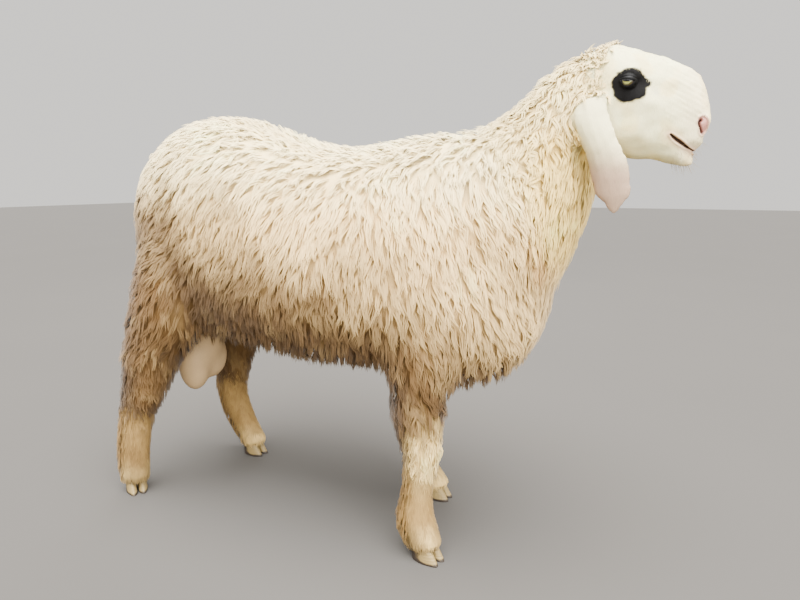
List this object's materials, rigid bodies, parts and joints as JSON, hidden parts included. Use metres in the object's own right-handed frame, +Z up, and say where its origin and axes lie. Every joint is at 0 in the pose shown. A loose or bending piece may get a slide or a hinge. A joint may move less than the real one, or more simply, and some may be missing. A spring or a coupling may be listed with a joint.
{
  "type": "ram",
  "caption": "Standing hornless ram with long drooping ears, a Roman nose, a woolly fleece and one dark eye patch, for display on a flat floor.",
  "frame": {"origin": "centre of the whole footprint at floor level, under the middle of the trunk", "axes": "+X towards the nose, +Y to the left side of the animal, +Z up"},
  "size_m": [1.3578, 0.4698, 1.0501],
  "materials": {
    "wool": "cream fleece in loose locks, tan towards the belly and legs",
    "short_hair": "short flat cream hair",
    "bare_skin": "smooth matt skin with thin down",
    "hoof_horn": "dull ochre horn, dark at the base",
    "eye": "wet and glossy"
  },
  "bodies": {
    "root": {"barrel": "wool", "claw_fore_left_inner": "hoof_horn", "claw_fore_left_outer": "hoof_horn", "claw_fore_right_inner": "hoof_horn", "claw_fore_right_outer": "hoof_horn", "claw_hind_left_inner": "hoof_horn", "claw_hind_left_outer": "hoof_horn", "claw_hind_right_inner": "hoof_horn", "claw_hind_right_outer": "hoof_horn", "ear_left": "short_hair", "ear_right": "short_hair", "eye_left": "eye", "eye_right": "eye", "fore_cannon_left": "short_hair", "fore_cannon_right": "short_hair", "forearm_left": "wool", "forearm_right": "wool", "forequarter": "wool", "gaskin_left": "wool", "gaskin_right": "wool", "head": "short_hair", "hind_cannon_left": "short_hair", "hind_cannon_right": "short_hair", "hindquarter": "wool", "jaw": "short_hair", "neck": "wool", "scrotum": "bare_skin", "tail": "wool"}
  },
  "joints": []
}
